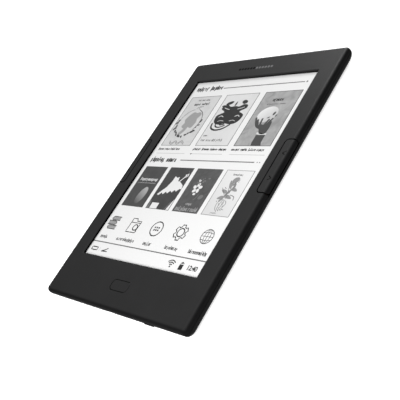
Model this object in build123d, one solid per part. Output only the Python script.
from build123d import *
from math import cos, radians, sin
import os

# E-reader with page-turn rockers on both long sides, one solid or group of solids per file.
# Millimetres. It lies on its back: +X to its right, +Y to its top edge, +Z out of the screen.
# The origin is the middle of the flat back.

# ---------------------------------------------------------------- driving dimensions
WIDTH = 114.6
LENGTH = 163.8
THICKNESS = 8.0
PARTING_Z = 5.5          # where the front bezel meets the rear cover
CORNER = 2.6             # plan corner of the outline
WALL = 1.2
FRONT_EDGE = 2.0         # rounding of the front edge
SIDE_INSET = 5.5         # how far the rear cover's sides curve in on their way to the flat back
END_INSET = 4.7          # the same for its two ends
BACK_CORNER_GROWTH = 1.0 # how much rounder the outline's corners get on the way

SEAM_HEIGHT = 0.35       # the shadow line all round, cut into the rear cover's rim
SEAM_DEPTH = 0.6
TAB_HALF = 3.0           # half the length of a clip
TAB_THICKNESS = 0.8
TAB_CLEARANCE = 0.1

WINDOW_WIDTH = 91.2
WINDOW_LENGTH = 123.0
WINDOW_Y = 5.0           # the window sits above the middle, which leaves a chin below it
WINDOW_BEVEL = 0.6       # width of the shallow bevel round the window
WINDOW_BEVEL_DEPTH = 0.3
WINDOW_CORNER = 0.4
WINDOW_LIP = 0.7
SCREEN_Z = 6.5           # the touch panel lies 1.5 mm below the bezel's face
BEZEL_UNDER = 6.7

ROCKER_LENGTH = 30.6
ROCKER_Y = 6.0
ROCKER_INNER_X = 51.65
ROCKER_GAP = 0.65
ROCKER_BOTTOM = 5.6
ROCKER_NOTCH = 4.95      # the rear cover dips to here below each rocker
ROCKER_CORNER = 1.6
ROCKER_SKIN = 1.4        # thickness of a rocker's face above its hollow
PIVOT_Z = 5.7
PIN_RADIUS = 0.6
PIN_CLEARANCE = 0.06
KEY_REACH = 12.0         # from the pivot to the dome under each end of a rocker
KEY_X = 52.9             # the line of the domes
CHEVRON_X = 54.6
CHEVRON_REACH = 7.35     # from the middle of a rocker to each of its marks
CHEVRON_LENGTH = 2.3
CHEVRON_WIDTH = 0.4
CHEVRON_DEPTH = 0.45
CHEVRON_LEAN = 30.0      # degrees off the long axis of the stroke

HOME_Y = -69.3
HOME_WIDTH = 13.5
HOME_LENGTH = 5.6
HOME_CORNER = 2.2
HOME_GAP = 0.25

POWER_X = 29.3
POWER_Z = 3.75
POWER_WIDTH = 5.8
POWER_HEIGHT = 2.2
POWER_PROUD = 0.35
POWER_GAP = 0.2

USB_WIDTH = 7.5
USB_HEIGHT = 2.5
USB_Z = 3.45
USB_MOUTH = 79.6         # distance of the mouth from the middle, towards the bottom edge
USB_DEPTH = 5.4
CARD_X = -28.5
CARD_WIDTH = 13.6
CARD_LOW = 3.4
CARD_TOP = 4.75
CARD_MOUTH = 79.1
CARD_DEPTH = 14.5

# ---------------------------------------------------------------- stack of layers, from the back up
FRAME_LOW = 4.1
FRAME_TOP = 4.7
PANEL_LOW = 4.85
PANEL_TOP = 5.65
GUIDE_TOP = 6.1
BOARD_LOW = 2.6
BOARD_TOP = 3.4
BATTERY_LOW = 1.35
BATTERY_TOP = 3.9
BATTERY_WIDTH = 72.0
BATTERY_LENGTH = 82.0
BATTERY_Y = 10.0
CELL_BOARD_FOOT = -34.2  # the cell's small board ends here, and its plug starts at PLUG_HEAD
PLUG_HEAD = -40.1
SKIN = 0.12              # a flexible circuit
SLIT = 0.01              # the least gap between two pieces that lie on each other

# ---------------------------------------------------------------- screws
FRAME_POST = 1.7         # radius of the posts under the bezel
BOARD_POST = 1.8
PILOT = 0.72             # hole for a thread
THREAD = 0.7
FREE_HOLE = 0.85         # hole that a screw passes through
HEAD = 1.2
HEAD_HEIGHT = 0.5

# ---------------------------------------------------------------- worked-out places
HALF_WIDTH = WIDTH / 2
HALF_LENGTH = LENGTH / 2
WINDOW_TOP = WINDOW_Y + WINDOW_LENGTH / 2
WINDOW_FOOT = WINDOW_Y - WINDOW_LENGTH / 2
STACK_HALF = WINDOW_WIDTH / 2 + 2.8
STACK_TOP = WINDOW_TOP + 3.3
PANEL_FOOT = WINDOW_FOOT - 6.7
TOUCH_FOOT = WINDOW_FOOT - 5.3
GUIDE_FOOT = WINDOW_FOOT - 3.1
FRAME_WIDTH = WIDTH - 2 * WALL - 2.2
FRAME_LENGTH = LENGTH - 2 * WALL - 2.2
BOARD_WIDTH = 104.0
BOARD_HEAD = -38.0
BOARD_FOOT = -77.1
FLEX_SLOT_FOOT = PANEL_FOOT - 2.9
FLEX_SLOT_HEAD = PANEL_FOOT - 0.4
FLEX_FOLD_Y = PANEL_FOOT - 1.2
FLEX_LOW_Z = 3.8
CONNECTOR_Y = PANEL_FOOT + 2.2
DISPLAY_TAIL = (14.0, 38.0)          # where each folded circuit runs, across the reader
TOUCH_TAIL = (-19.0, -11.0)
LIGHT_TAIL = (41.0, 45.0)
CHIP_Y = -54.0
FRAME_SCREWS = [(x, HALF_LENGTH - 6.9) for x in (-48.0, -16.0, 16.0, 48.0)]
FRAME_SCREWS += [(side * x, y) for side in (-1, 1) for x, y in ((46.0, -70.0), (52.3, -55.0), (52.3, 45.0))]
BOARD_SCREWS = [(side * x, y) for side in (-1, 1) for x, y in ((48.0, -42.0), (38.5, -74.0))]
TAB_SIDE_YS = (-60.0, -34.0, 38.0, 66.0)
TAB_HEAD_XS = (-32.0, 0.0, 32.0)
TAB_FOOT_XS = (-46.0, -13.0, 13.0, 42.0)


# ---------------------------------------------------------------- helpers
def slab(width, length, bottom, top, corner=0.0, at=(0.0, 0.0)):
    """A flat block between two heights, with rounded plan corners if asked."""
    outline = RectangleRounded(width, length, corner) if corner else Rectangle(width, length)
    return Pos(at[0], at[1], bottom) * extrude(outline, top - bottom)


def block(x_range, y_range, z_range):
    """A plain box from its three ranges."""
    width = x_range[1] - x_range[0]
    length = y_range[1] - y_range[0]
    middle = ((x_range[0] + x_range[1]) / 2, (y_range[0] + y_range[1]) / 2)
    return slab(width, length, z_range[0], z_range[1], at=middle)


def disc(radius, bottom, top, at):
    """An upright round bar."""
    return Pos(at[0], at[1], bottom) * extrude(Circle(radius), top - bottom)


def bar_along_x(radius, x_from, x_to, y, z):
    """A round bar that lies along X."""
    return Pos(x_from, y, z) * Rot(0, 90, 0) * extrude(Circle(radius), x_to - x_from)


def tunnel(width, height, corner, x, z, y_from, y_to):
    """A rounded bar that runs along Y, as seen through the bottom edge."""
    outline = Plane.XZ * RectangleRounded(width, height, corner)
    return Pos(x, y_to, z) * extrude(outline, y_to - y_from)


def mirrored(part):
    """The same piece on the reader's left side."""
    return mirror(part, Plane.YZ)


def save(name, *solids):
    """One file per sub-part; several solids stay separate in it."""
    shape = solids[0] if len(solids) == 1 else Compound(children=list(solids))
    export_step(shape, f"parts/{name}.step")


# ---------------------------------------------------------------- housing
def curved_back(width, length, floor, side_inset, end_inset, corner):
    """The shape behind the parting line: full size at the top, curving in to a flat floor."""
    steps = 6
    last_turn = 80.0
    sections = []
    for step in range(steps + 1):
        turn = radians(last_turn * step / steps)
        drop = (PARTING_Z - floor) * sin(turn) / sin(radians(last_turn))
        share = (1 - cos(turn)) / (1 - cos(radians(last_turn)))
        outline = RectangleRounded(
            width - 2 * side_inset * share,
            length - 2 * end_inset * share,
            corner + BACK_CORNER_GROWTH * share,
        )
        sections.append(Pos(0, 0, PARTING_Z - drop) * outline)
    return loft(sections)


def back_outside(grown=0.0):
    """The outside of the rear cover, or a copy of it grown outwards."""
    return curved_back(WIDTH + 2 * grown, LENGTH + 2 * grown, 0.0, SIDE_INSET, END_INSET, CORNER)


def back_inside():
    """The hollow of the rear cover."""
    change = 0.5 - WALL
    width = WIDTH - 2 * WALL
    length = LENGTH - 2 * WALL
    return curved_back(width, length, WALL, SIDE_INSET + change, END_INSET + change, CORNER - WALL)


def front_outside():
    """The outside of the bezel, its front edge rounded all the way round."""
    body = slab(WIDTH, LENGTH, PARTING_Z, THICKNESS, CORNER)
    return fillet(body.edges().group_by(Axis.Z)[-1], FRONT_EDGE)


def rocker_space(gap):
    """The room a right-hand rocker takes, grown by a gap; it runs out past the side of the reader."""
    reach = HALF_WIDTH + 6 - ROCKER_INNER_X + gap
    length = ROCKER_LENGTH + 2 * gap
    low = ROCKER_BOTTOM if gap == 0 else ROCKER_NOTCH
    corner = ROCKER_CORNER + gap
    rise = THICKNESS + 4 - low
    plan = slab(2 * reach, length, low, low + rise, corner, (ROCKER_INNER_X - gap + reach, ROCKER_Y))
    side = Plane.YZ * RectangleRounded(length, 2 * rise, corner)
    return plan & (Pos(0, ROCKER_Y, low + rise) * extrude(side, HALF_WIDTH + 10))


def power_space(gap, y_from, y_to):
    """A pill-shaped way through the bottom edge for the power button."""
    width = POWER_WIDTH + 2 * gap
    height = POWER_HEIGHT + 2 * gap
    return tunnel(width, height, height * 0.48, POWER_X, POWER_Z, y_from, y_to)


def snap_tab(across, near, far):
    """A clip on the left rim, standing up inside the bezel: a tongue and the root that joins it on."""
    length = (across - TAB_HALF, across + TAB_HALF)
    tongue = block((-far, -near), length, (PARTING_Z - 0.7, PARTING_Z + 0.8))
    root = block((-far - 0.5, -near), length, (PARTING_Z - 1.0, PARTING_Z - 0.1))
    return tongue + root


def snap_tabs():
    """Clips all round the rear cover."""
    side_far = HALF_WIDTH - WALL - TAB_CLEARANCE
    end_far = HALF_LENGTH - WALL - TAB_CLEARANCE
    tabs = []
    for y in TAB_SIDE_YS:
        tab = snap_tab(y, side_far - TAB_THICKNESS, side_far)
        tabs += [tab, mirrored(tab)]
    for x in TAB_HEAD_XS:
        tabs.append(Rot(0, 0, -90) * snap_tab(x, end_far - TAB_THICKNESS, end_far))
    for x in TAB_FOOT_XS:
        tabs.append(Rot(0, 0, 90) * snap_tab(-x, end_far - TAB_THICKNESS, end_far))
    return tabs


def parting_seam():
    """The shallow groove that runs round the outside just under the bezel."""
    low = PARTING_Z - SEAM_HEIGHT
    around = slab(WIDTH + 4, LENGTH + 4, low, PARTING_Z + 1)
    width = WIDTH - 2 * SEAM_DEPTH
    length = LENGTH - 2 * SEAM_DEPTH
    return around - slab(width, length, low - 1, PARTING_Z + 2, CORNER - SEAM_DEPTH)


def rear_cover():
    """The shell behind, with the ways through its bottom edge and a dip below each rocker."""
    cover = back_outside() - back_inside() - parting_seam()
    cover -= rocker_space(ROCKER_GAP)
    cover -= mirrored(rocker_space(ROCKER_GAP))
    cover -= power_space(POWER_GAP, -HALF_LENGTH - 2, -70.0)
    cover -= tunnel(USB_WIDTH + 0.5, USB_HEIGHT + 0.5, 0.8, 0, USB_Z, -HALF_LENGTH - 2, -70.0)
    slot_z = (CARD_LOW + CARD_TOP) / 2
    cover -= tunnel(CARD_WIDTH - 1.4, 1.1, 0.4, CARD_X, slot_z, -HALF_LENGTH - 2, -76.0)
    for tab in snap_tabs():
        cover += tab
    return cover


def window_bevel():
    """The shallow slope from the bezel's face down to the window's edge, as a solid to cut away."""
    sections = []
    for share in (0.0, 1.0, 1.5):
        growth = WINDOW_BEVEL * share
        outline = RectangleRounded(
            WINDOW_WIDTH + 2 * growth, WINDOW_LENGTH + 2 * growth, WINDOW_CORNER + growth,
        )
        height = THICKNESS - WINDOW_BEVEL_DEPTH * (1 - share)
        sections.append(Pos(0, WINDOW_Y, height) * outline)
    return loft(sections, ruled=True)


def screw_post(at):
    """A post under the bezel that takes a screw from behind."""
    return disc(FRAME_POST, FRAME_TOP + 2 * SLIT, BEZEL_UNDER, at)


def front_bezel():
    """The front frame: a plate round the window, a short side wall and posts for the screws."""
    bezel = front_outside()
    bezel -= slab(WIDTH - 2 * WALL, LENGTH - 2 * WALL, PARTING_Z, BEZEL_UNDER, CORNER - WALL)
    bezel += slab(
        WINDOW_WIDTH + 2 * WINDOW_LIP, WINDOW_LENGTH + 2 * WINDOW_LIP,
        SCREEN_Z + 0.05, BEZEL_UNDER, 0.8, (0, WINDOW_Y),
    )
    for at in FRAME_SCREWS:
        bezel += screw_post(at)
        bezel -= disc(PILOT, FRAME_TOP, BEZEL_UNDER - 0.1, at)
    bezel -= slab(WINDOW_WIDTH, WINDOW_LENGTH, PARTING_Z, THICKNESS, WINDOW_CORNER, (0, WINDOW_Y))
    bezel -= window_bevel()
    bezel -= slab(
        HOME_WIDTH + 2 * HOME_GAP, HOME_LENGTH + 2 * HOME_GAP,
        PARTING_Z, THICKNESS + 1, HOME_CORNER + HOME_GAP, (0, HOME_Y),
    )
    bezel -= rocker_space(ROCKER_GAP)
    bezel -= mirrored(rocker_space(ROCKER_GAP))
    return bezel


# ---------------------------------------------------------------- frame and screws
def pivot_post(x_from, x_to):
    """A snap-in bearing: a round bore that opens upwards through a slot a little narrower than the pin."""
    post = block((x_from, x_to), (ROCKER_Y - 1.3, ROCKER_Y + 1.3), (FRAME_TOP - 0.1, PIVOT_Z + 0.5))
    post -= bar_along_x(PIN_RADIUS + PIN_CLEARANCE, x_from - 1, x_to + 1, ROCKER_Y, PIVOT_Z)
    post -= block((x_from - 1, x_to + 1), (ROCKER_Y - 0.54, ROCKER_Y + 0.54), (PIVOT_Z, PIVOT_Z + 2))
    return post


def mid_frame():
    """The cast plate that carries the screen above and the battery and board below."""
    frame = slab(FRAME_WIDTH, FRAME_LENGTH, FRAME_LOW, FRAME_TOP, 3.4)
    rib_z = (2.4, FRAME_LOW + 0.1)
    for x in (-40.0, -20.0, 0.0, 20.0, 40.0):
        frame += block((x - 0.5, x + 0.5), (57.0, 75.5), rib_z)
    frame += block((-40.0, 40.0), (65.5, 66.5), rib_z)
    for at in BOARD_SCREWS:
        frame += disc(BOARD_POST, BOARD_TOP + 2 * SLIT, FRAME_LOW + 0.1, at)
        frame -= disc(PILOT, BOARD_TOP, FRAME_TOP - 0.1, at)
    for at in FRAME_SCREWS:
        frame -= disc(FREE_HOLE, FRAME_LOW - 1, FRAME_TOP + 1, at)
    for x_from, x_to in ((49.4, 50.7), (53.1, 54.3)):
        frame += pivot_post(x_from, x_to)
        frame += pivot_post(-x_to, -x_from)
    through = (FRAME_LOW - 1, FRAME_TOP + 1)
    frame -= block((-20.0, 46.0), (FLEX_SLOT_FOOT, FLEX_SLOT_HEAD), through)
    for side in (-1, 1):
        frame -= block(sorted((side * 50.7, side * 53.2)), (-48.3, -46.3), through)
    usb_half = USB_WIDTH / 2 + 0.85
    frame -= block((-usb_half, usb_half), (-HALF_LENGTH, USB_DEPTH - USB_MOUTH + 0.8), through)
    card_half = CARD_WIDTH / 2 + 0.5
    card_end = CARD_DEPTH - CARD_MOUTH + 0.5
    frame -= block((CARD_X - card_half, CARD_X + card_half), (-HALF_LENGTH, card_end), through)
    frame -= block((POWER_X - 5.2, POWER_X + 5.2), (-HALF_LENGTH, -71.6), through)
    return frame


def screw(at, head_low, tip):
    """A small pan-head screw driven upwards, with a cross recess in its head."""
    head = disc(HEAD, head_low, head_low + HEAD_HEIGHT, at)
    shank = disc(THREAD, head_low + HEAD_HEIGHT / 2, tip, at)
    recess = (head_low - 0.1, head_low + HEAD_HEIGHT / 2)
    cross = slab(1.3, 0.3, *recess, at=at) + slab(0.3, 1.3, *recess, at=at)
    return head + shank - cross


# ---------------------------------------------------------------- screen
def layer(half_width, foot, head, bottom, top, corner=0.6):
    """One sheet of the screen's stack."""
    return slab(2 * half_width, head - foot, bottom, top, corner, (0, (foot + head) / 2))


def ring(half_width, foot, head, width, bottom, top):
    """A flat frame-shaped seal."""
    outer = layer(half_width, foot, head, bottom, top)
    return outer - layer(half_width - width, foot + width, head - width, bottom - 1, top + 1)


def screen_gasket():
    """The foam seal between the touch panel and the bezel."""
    foot = WINDOW_FOOT - 3.0
    return ring(STACK_HALF - 0.1, foot, STACK_TOP - 0.2, 1.7, SCREEN_Z + SLIT, BEZEL_UNDER - SLIT)


def folded_tail(x_from, x_to, top, y_start, end_y):
    """A flexible circuit that leaves a layer, folds down through the frame and ends in a connector."""
    low = FLEX_LOW_Z
    radius = (top - low) / 2
    whole_ring = Circle(radius) - Circle(radius - SKIN)
    inner_half = Pos(2 * radius, 0) * Rectangle(4 * radius, 4 * radius)
    side = Plane.YZ * (Pos(FLEX_FOLD_Y, low + radius) * (whole_ring - inner_half))
    fold = Pos(x_from, 0, 0) * extrude(side, x_to - x_from)
    upper = block((x_from, x_to), (FLEX_FOLD_Y - 0.01, y_start), (top - SKIN, top))
    lower = block((x_from, x_to), (FLEX_FOLD_Y - 0.01, end_y), (low, low + SKIN))
    return fold + upper + lower


def light_strip():
    """The strip that carries the front light, with its tail."""
    low = PANEL_TOP + SLIT
    strip = block((-44.0, 44.0), (TOUCH_FOOT, GUIDE_FOOT - 0.15), (low, low + SKIN))
    return strip + folded_tail(*LIGHT_TAIL, low + SKIN, TOUCH_FOOT + 0.5, CONNECTOR_Y)


def light_leds():
    """Six small lamps in a row that shine into the edge of the light guide."""
    low = PANEL_TOP + 2 * SLIT + SKIN
    return [
        block((x - 1.5, x + 1.5), (GUIDE_FOOT - 1.0, GUIDE_FOOT - 0.15), (low, GUIDE_TOP - 0.05))
        for x in (-37.5, -22.5, -7.5, 7.5, 22.5, 37.5)
    ]


# ---------------------------------------------------------------- boards and parts on them
def main_board():
    """The board across the bottom, cut away round the charging socket and drilled for its screws."""
    middle = (0, (BOARD_HEAD + BOARD_FOOT) / 2)
    board = slab(BOARD_WIDTH, BOARD_HEAD - BOARD_FOOT, BOARD_LOW, BOARD_TOP, 4.0, middle)
    usb_half = USB_WIDTH / 2 + 0.3
    board -= block((-usb_half, usb_half), (-HALF_LENGTH, USB_DEPTH - USB_MOUTH + 0.3), (0, THICKNESS))
    for at in BOARD_SCREWS:
        board -= disc(FREE_HOLE, 0, THICKNESS, at)
    return board


def shield_can():
    """A pressed metal lid over the processor, open towards the board."""
    at = (-6.0, CHIP_Y)
    sheet = 0.2
    can = slab(27.0, 20.0, 1.5, BOARD_LOW - SLIT, 0.6, at)
    return can - slab(27.0 - 2 * sheet, 20.0 - 2 * sheet, 1.5 + sheet, BOARD_LOW + 1, 0.5, at)


def chip(x, y, width, length, drop):
    """A package under the board."""
    return slab(width, length, BOARD_LOW - SLIT - drop, BOARD_LOW - SLIT, at=(x, y))


def flex_connector(x_from, x_to):
    """A low connector on top of the board that grips the end of a flexible circuit."""
    body_y = (CONNECTOR_Y - 0.6, CONNECTOR_Y + 2.4)
    mouth_y = (CONNECTOR_Y - 1, CONNECTOR_Y + 0.3)
    mouth_z = (FLEX_LOW_Z - 0.05, FLEX_LOW_Z + SKIN + 0.05)
    body = block((x_from - 1, x_to + 1), body_y, (BOARD_TOP + SLIT, FRAME_LOW - 0.05))
    return body - block((x_from - 0.2, x_to + 0.2), mouth_y, mouth_z)


def usb_outline(shrink):
    """The lopsided outline of the charging socket: full width above, narrower below."""
    half = USB_WIDTH / 2 - shrink
    rise = USB_HEIGHT / 2 - shrink
    waist = half - 0.9
    shoulder = 1.0 - rise
    outline = Polygon(
        (-half, rise), (-half, shoulder), (-waist, -rise), (waist, -rise), (half, shoulder), (half, rise),
        align=None,
    )
    return Plane.XZ * fillet(outline.vertices(), 0.3)


def usb_shell():
    """The metal tube of the charging socket, closed at its inner end."""
    inner_end = USB_DEPTH - USB_MOUTH
    tube = Pos(0, inner_end, USB_Z) * extrude(usb_outline(0), USB_DEPTH)
    hole = Pos(0, inner_end - 0.4, USB_Z) * extrude(usb_outline(0.28), USB_DEPTH)
    return tube - hole


def usb_tongue():
    """The plastic tongue inside the charging socket."""
    y_back = USB_DEPTH - USB_MOUTH - 0.42
    tongue = block((-1.9, 1.9), (1.2 - USB_MOUTH, y_back), (USB_Z + 0.05, USB_Z + 0.65))
    heel = block((-2.4, 2.4), (y_back - 0.8, y_back), (USB_Z - 0.6, USB_Z + 0.85))
    return tongue + heel


def card_shell():
    """The pressed lid of the memory card socket: a roof with two sides."""
    half = CARD_WIDTH / 2
    y_range = (-CARD_MOUTH, CARD_DEPTH - CARD_MOUTH)
    sheet = 0.15
    outer = block((CARD_X - half, CARD_X + half), y_range, (CARD_LOW + SLIT, CARD_TOP))
    inside = (CARD_X - half + sheet, CARD_X + half - sheet)
    return outer - block(inside, (-LENGTH, 0.0), (CARD_LOW - 1, CARD_TOP - sheet))


def card_base():
    """The plastic floor of the memory card socket with a rail on each side."""
    half = CARD_WIDTH / 2 - 0.17
    y_range = (0.3 - CARD_MOUTH, CARD_DEPTH - CARD_MOUTH - 0.1)
    base = block((CARD_X - half, CARD_X + half), y_range, (CARD_LOW + SLIT, CARD_TOP - 0.17))
    card = block((CARD_X - 5.6, CARD_X + 5.6), (-LENGTH, y_range[1] - 1.2), (CARD_LOW + 0.3, CARD_TOP))
    return base - card


# ---------------------------------------------------------------- battery
def battery_pack():
    """The flat pouch cell with its pinched seams along both long sides."""
    pouch = slab(BATTERY_WIDTH, BATTERY_LENGTH, BATTERY_LOW, BATTERY_TOP, 2.0, (0, BATTERY_Y))
    seam_z = (BATTERY_LOW + BATTERY_TOP) / 2
    seams = slab(BATTERY_WIDTH + 4, BATTERY_LENGTH - 2, seam_z - 0.15, seam_z + 0.15, 1.0, (0, BATTERY_Y))
    return fillet(pouch.edges().group_by(Axis.Z)[0], 0.6) + seams


def battery_board():
    """The cell's small protection board, just past the end of the pouch."""
    pouch_end = BATTERY_Y - BATTERY_LENGTH / 2
    return block((-20.0, 20.0), (CELL_BOARD_FOOT, pouch_end - 2 * SLIT), (1.9, 3.2))


def battery_lead(x):
    """One insulated wire in a shallow bend from the cell's board to its plug."""
    start = CELL_BOARD_FOOT
    end = PLUG_HEAD
    path = Spline([(x, start, 2.3), (x + 0.6, start - 2.0, 2.05), (x - 0.4, end + 1.8, 2.0), (x, end, 2.0)])
    wire = sweep(Plane(path @ 0, z_dir=path % 0) * Circle(0.38), path)
    return wire & block((x - 3, x + 3), (end + 0.05, start - 0.05), (0, 5))


# ---------------------------------------------------------------- page-turn rockers
def chevron(y, points_left):
    """Two shallow strokes cut into a rocker's face, meeting in a point."""
    turn = CHEVRON_LEAN if points_left else -CHEVRON_LEAN
    apart = CHEVRON_LENGTH / 2 * sin(radians(CHEVRON_LEAN))
    strokes = []
    for lean in (-1, 1):
        stroke = slab(CHEVRON_LENGTH, CHEVRON_WIDTH, THICKNESS - CHEVRON_DEPTH, THICKNESS + 1)
        strokes.append(Pos(CHEVRON_X, y + lean * apart, 0) * Rot(0, 0, lean * turn) * stroke)
    return strokes[0] + strokes[1]


def rocker(on_left):
    """A page key: a cap that wraps over the front edge, a pivot pin and a nub above each dome."""
    cap = front_outside() & rocker_space(0)
    hollow_length = ROCKER_LENGTH - 2.4
    hollow_y = (ROCKER_Y - hollow_length / 2, ROCKER_Y + hollow_length / 2)
    ceiling = THICKNESS - ROCKER_SKIN
    cap -= block((ROCKER_INNER_X - 1, HALF_WIDTH - WALL), hollow_y, (0, ceiling))
    ribs_y = (ROCKER_Y - 0.9, ROCKER_Y + 0.9)
    for x_range in ((51.75, 52.75), (54.6, 55.7)):
        cap += block(x_range, ribs_y, (5.05, ceiling + 0.1))
    cap += bar_along_x(PIN_RADIUS, 49.2, 55.0, ROCKER_Y, PIVOT_Z)
    for end in (-1, 1):
        cap += disc(0.8, 5.37, ceiling + 0.1, (KEY_X, ROCKER_Y + end * KEY_REACH))
    cap -= chevron(ROCKER_Y + CHEVRON_REACH, not on_left)
    cap -= chevron(ROCKER_Y - CHEVRON_REACH, on_left)
    return mirrored(cap) if on_left else cap


def key_flex():
    """The circuit under the right-hand rocker: a narrow strip, two pads and a tail down to the board."""
    low = FRAME_TOP + SLIT
    foot = -47.4
    flex = block((51.2, 52.6), (foot, ROCKER_Y + KEY_REACH), (low, low + SKIN))
    for end in (-1, 1):
        flex += slab(3.8, 5.0, low, low + SKIN, 0.8, (KEY_X, ROCKER_Y + end * KEY_REACH))
    return flex + block((51.2, 51.95), (foot, foot + SKIN), (BOARD_TOP + SLIT, low + SKIN))


def dome(x, y, base, radius, height):
    """A thin pressed snap dome."""
    ball = (radius * radius + height * height) / (2 * height)
    centre = Pos(x, y, base + height - ball)
    shell = centre * (Sphere(ball) - Sphere(ball - 0.07))
    return shell & disc(radius, base, base + height + 1, (x, y))


def rocker_domes():
    """The two domes under the right-hand rocker."""
    base = FRAME_TOP + 2 * SLIT + SKIN
    return [dome(KEY_X, ROCKER_Y + end * KEY_REACH, base, 1.6, 0.3) for end in (-1, 1)]


# ---------------------------------------------------------------- home and power keys
def home_button():
    """The front key: a flush cap, a collar that stops it falling out and a nub above its dome."""
    cap = slab(HOME_WIDTH, HOME_LENGTH, 6.0, THICKNESS, HOME_CORNER, (0, HOME_Y))
    cap = fillet(cap.edges().group_by(Axis.Z)[-1], 0.2)
    cap += slab(HOME_WIDTH + 2.2, HOME_LENGTH + 1.6, 6.0, BEZEL_UNDER - 0.2, HOME_CORNER, (0, HOME_Y))
    return cap + disc(0.9, 5.57, 6.1, (0, HOME_Y))


def power_button():
    """The key in the bottom edge: its face follows the curve and stands a little proud of it."""
    cap = power_space(0, -HALF_LENGTH - 2, -78.3) & back_outside(POWER_PROUD)
    collar_z = (2.95, 4.85)
    cap += block((POWER_X - 4.5, POWER_X + 4.5), (-78.35, -77.75), collar_z)
    return cap + block((POWER_X - 1.0, POWER_X + 1.0), (-77.8, -76.42), (3.85, 4.5))


def power_switch():
    """The side-push switch: a housing with a well that the plunger slides in."""
    body = block((POWER_X - 2.4, POWER_X + 2.4), (-75.6, -72.6), (BOARD_TOP + 0.01, 4.9))
    return body - block((POWER_X - 1.3, POWER_X + 1.3), (-76.0, -74.2), (3.7, 4.65))


def power_plunger():
    """The plunger of the side-push switch."""
    return block((POWER_X - 1.2, POWER_X + 1.2), (-76.4, -74.8), (3.8, 4.55))


# ---------------------------------------------------------------- write every sub-part
os.makedirs("parts", exist_ok=True)

save("front_bezel", front_bezel())
save("rear_cover", rear_cover())
save("mid_frame", mid_frame())
save("frame_screws", *[screw(at, FRAME_LOW - HEAD_HEIGHT - SLIT, BEZEL_UNDER - 0.5) for at in FRAME_SCREWS])
save("board_screws", *[screw(at, BOARD_LOW - HEAD_HEIGHT - SLIT, FRAME_LOW + 0.3) for at in BOARD_SCREWS])

save("touch_panel", layer(STACK_HALF, TOUCH_FOOT, STACK_TOP, GUIDE_TOP + SLIT, SCREEN_Z))
save("light_guide", layer(STACK_HALF, GUIDE_FOOT, STACK_TOP, PANEL_TOP + SLIT, GUIDE_TOP))
save("eink_panel", layer(STACK_HALF, PANEL_FOOT, STACK_TOP, PANEL_LOW, PANEL_TOP))
save("panel_tape", ring(STACK_HALF, PANEL_FOOT, STACK_TOP, 2.0, FRAME_TOP + SLIT, PANEL_LOW - SLIT))
save("screen_gasket", screen_gasket())
save("light_strip", light_strip())
save("light_leds", *light_leds())
save("display_flex", folded_tail(*DISPLAY_TAIL, PANEL_LOW + 0.3, PANEL_FOOT - 2 * SLIT, CONNECTOR_Y))
save("touch_flex", folded_tail(*TOUCH_TAIL, GUIDE_TOP + 0.2, TOUCH_FOOT - 2 * SLIT, CONNECTOR_Y))

save("main_board", main_board())
save("flex_connectors", *[flex_connector(*span) for span in (DISPLAY_TAIL, TOUCH_TAIL, LIGHT_TAIL)])
save("shield_can", shield_can())
save("processor_chip", chip(-12.0, CHIP_Y, 12.0, 12.0, 0.8))
save("memory_chip", chip(1.5, CHIP_Y, 8.0, 11.0, 0.75))
save("power_chip", chip(18.0, -50.0, 6.0, 6.0, 0.8))
save("radio_module", chip(31.0, -51.0, 12.0, 13.0, 1.0))
save("radio_antenna", chip(43.5, -50.0, 3.0, 9.0, 0.9))
save("board_capacitors", *[chip(-40.0 + 3.2 * n, -52.0 + 3.0 * (n % 2), 1.6, 0.9, 0.7) for n in range(6)])
save("usb_shell", usb_shell())
save("usb_tongue", usb_tongue())
save("card_shell", card_shell())
save("card_base", card_base())

save("battery_pack", battery_pack())
save("battery_tape", slab(60.0, 70.0, BATTERY_TOP + SLIT, FRAME_LOW - SLIT, 1.0, (0, BATTERY_Y)))
save("battery_board", battery_board())
save("battery_plug", block((-9.0, -2.0), (PLUG_HEAD - 3.1, PLUG_HEAD), (1.6, BOARD_LOW - SLIT)))
save("battery_lead_red", battery_lead(-7.0))
save("battery_lead_black", battery_lead(-4.0))

save("right_page_button", rocker(on_left=False))
save("left_page_button", rocker(on_left=True))
save("right_key_flex", key_flex())
save("left_key_flex", mirrored(key_flex()))
save("right_key_domes", *rocker_domes())
save("left_key_domes", *[mirrored(part) for part in rocker_domes()])

save("home_button", home_button())
save("home_key_board", slab(17.0, 7.6, FRAME_TOP + SLIT, 5.1, 0.8, (0, HOME_Y)))
save("home_dome", dome(0, HOME_Y, 5.11, 2.4, 0.44))
save("power_button", power_button())
save("power_switch", power_switch())
save("power_plunger", power_plunger())
